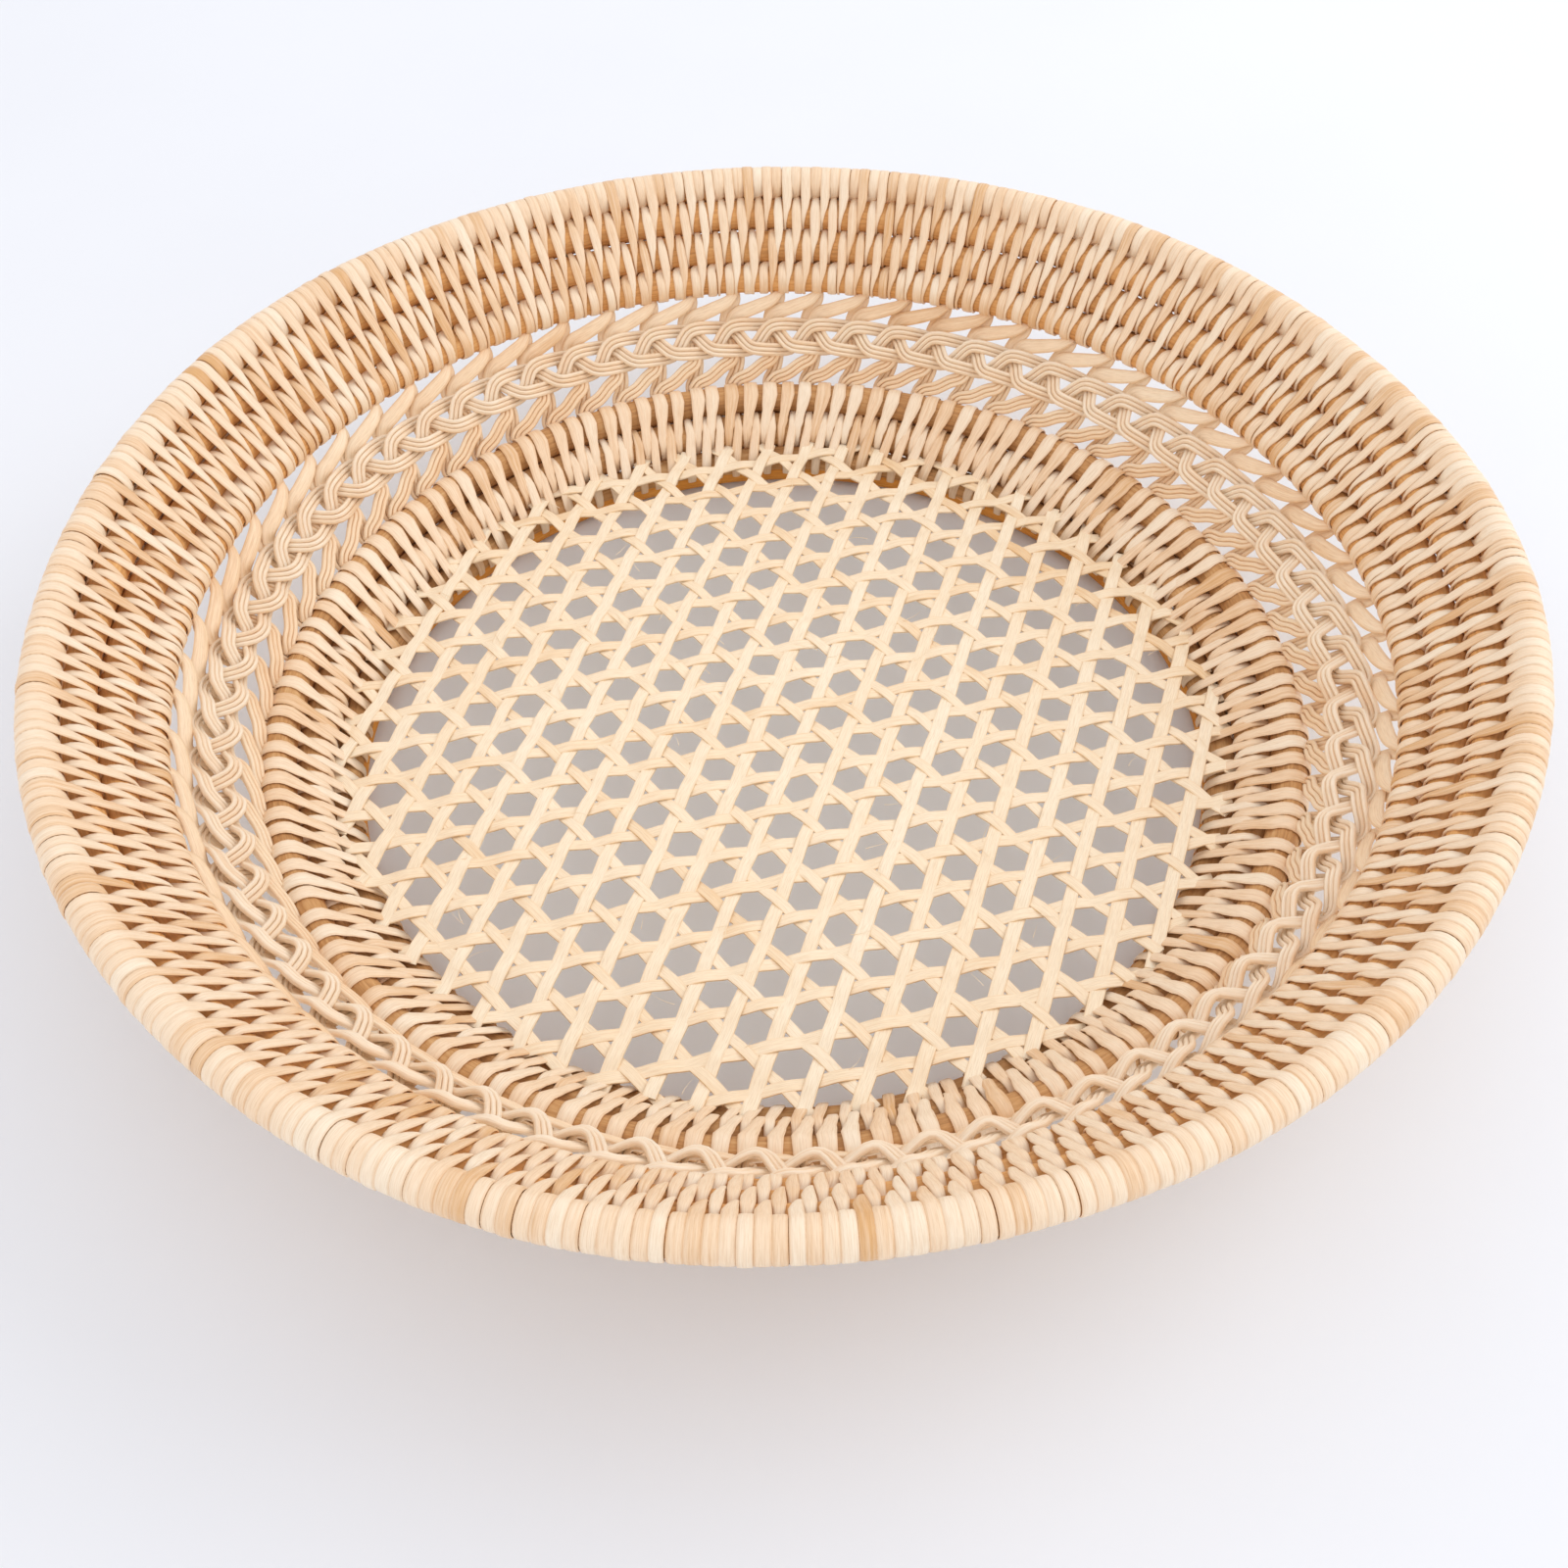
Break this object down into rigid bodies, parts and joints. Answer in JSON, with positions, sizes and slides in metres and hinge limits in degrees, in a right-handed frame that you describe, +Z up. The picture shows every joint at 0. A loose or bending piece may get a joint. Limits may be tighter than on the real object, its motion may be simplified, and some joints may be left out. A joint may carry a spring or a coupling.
{
  "type": "coiled cane basket",
  "caption": "Round shallow basket with a wrapped coil rim and wall, a braided openwork band, a wrapped inner band and foot, and a hexagonal woven cane bottom.",
  "frame": {"origin": "on the ground, under the middle of the basket", "axes": "+Z up through the middle of the bowl; the basket is round about it, so +X and +Y are any two level directions"},
  "size_m": [0.35, 0.35, 0.0712],
  "materials": {
    "brown_rod": "dry, fibrous brown rod",
    "binding_cane": "smooth split cane, satin on its outer skin",
    "lattice_cane": "flat split cane, satin",
    "braid_cane": "thin round core cane, matt",
    "bottom_cane": "flat peeled cane, satin, with a few loose fibres"
  },
  "bodies": {
    "root": {"rim_rod": "brown_rod", "rim_binding": "binding_cane", "wall_2_rod": "brown_rod", "wall_2_binding": "binding_cane", "wall_3_rod": "brown_rod", "wall_3_binding": "binding_cane", "wall_4_rod": "brown_rod", "wall_4_binding": "binding_cane", "shoulder_rod": "brown_rod", "shoulder_binding": "binding_cane", "band_lower_rod": "brown_rod", "band_lower_binding": "binding_cane", "foot_rod": "brown_rod", "foot_binding": "binding_cane", "outer_cane_a": "lattice_cane", "outer_cane_b": "lattice_cane", "inner_cane_a": "lattice_cane", "inner_cane_b": "lattice_cane", "braid_lead_1": "braid_cane", "braid_lead_2": "braid_cane", "braid_lead_3": "braid_cane", "cane_bottom": "bottom_cane"}
  },
  "joints": []
}
